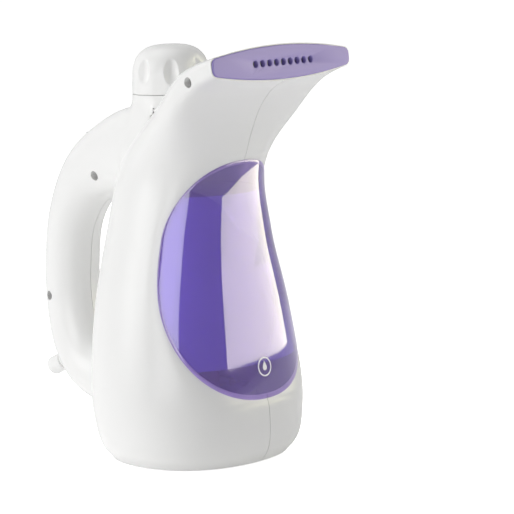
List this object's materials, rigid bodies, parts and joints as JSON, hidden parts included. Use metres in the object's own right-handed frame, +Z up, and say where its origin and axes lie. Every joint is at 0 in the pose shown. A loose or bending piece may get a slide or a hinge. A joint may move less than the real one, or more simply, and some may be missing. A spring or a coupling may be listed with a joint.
{
  "type": "garment steamer",
  "caption": "Hand-held garment steamer: white jug-shaped body with a loop handle, tinted front window over the water tank, screw filler cap and a wide steam head with a lilac drilled plate.",
  "frame": {"origin": "on the table, under the middle of the body", "axes": "+X the way the steam goes, +Y the appliance's left, +Z up"},
  "size_m": [0.2073, 0.132, 0.2478],
  "materials": {
    "shell": "smooth moulded white plastic",
    "window": "tinted transparent plastic",
    "tank": "tinted translucent plastic",
    "plate": "satin lilac coating",
    "rubber": "matt",
    "seal_rubber": "matt",
    "silicone": "silicone",
    "screws": "zinc plated",
    "alloy": "die cast",
    "heater": "drawn tube",
    "insulator": "moulded",
    "brass": "plain",
    "black_plastic": "fine grain",
    "grey_plastic": "smooth moulded grey plastic",
    "lens": "clear red"
  },
  "bodies": {
    "body": {"housing_right": "shell", "housing_left": "shell", "filler_collar": "shell", "base_plate": "shell", "cord_gland": "shell", "window_cover": "window", "water_tank": "tank", "filler_neck": "tank", "foot_pad_1": "rubber", "foot_pad_2": "rubber", "foot_pad_3": "rubber", "foot_pad_4": "rubber", "base_screw_1": "screws", "base_screw_2": "screws", "base_screw_3": "screws", "base_screw_4": "screws", "housing_screw_head": "screws", "housing_screw_web": "screws", "housing_screw_grip": "screws", "steam_plate": "plate", "plate_gasket": "silicone", "steam_manifold": "alloy", "steam_hose": "silicone", "boiler_pan": "alloy", "boiler_gasket": "silicone", "boiler_lid": "alloy", "heating_element": "heater", "boiler_screw_1": "screws", "boiler_screw_2": "screws", "boiler_screw_3": "screws", "boiler_screw_4": "screws", "feed_tube": "silicone", "thermostat": "insulator", "thermal_fuse": "brass", "switch_body": "black_plastic", "switch_bezel": "shell", "indicator_lens": "lens"},
    "seal": {"cap_seal": "seal_rubber"},
    "liner": {"cap_liner": "insulator"},
    "cap": {"filler_cap": "shell"},
    "rocker": {"power_rocker": "grey_plastic"}
  },
  "joints": [
    {"name": "cap_lift", "type": "slide", "parent": "body", "child": "seal", "axis": [0, 0, 1], "range_m": [0, 0.06]},
    {"name": "cap_rise", "type": "slide", "parent": "seal", "child": "liner", "axis": [0, 0, 1], "range_m": [0, 0.0062]},
    {"name": "cap_turn", "type": "hinge", "parent": "liner", "child": "cap", "pos_m": [-0.012, 0, 0.2], "axis": [0, 0, 1], "range_deg": [0, 540]},
    {"name": "power_rock", "type": "hinge", "parent": "body", "child": "rocker", "pos_m": [-0.07336, 0, 0.19015], "axis": [0, 1, 0], "range_deg": [0, 14]}
  ],
  "couplings": [
    {"joint": "cap_rise", "follows": "cap_turn", "m_per_rad": 0.00063662}
  ]
}
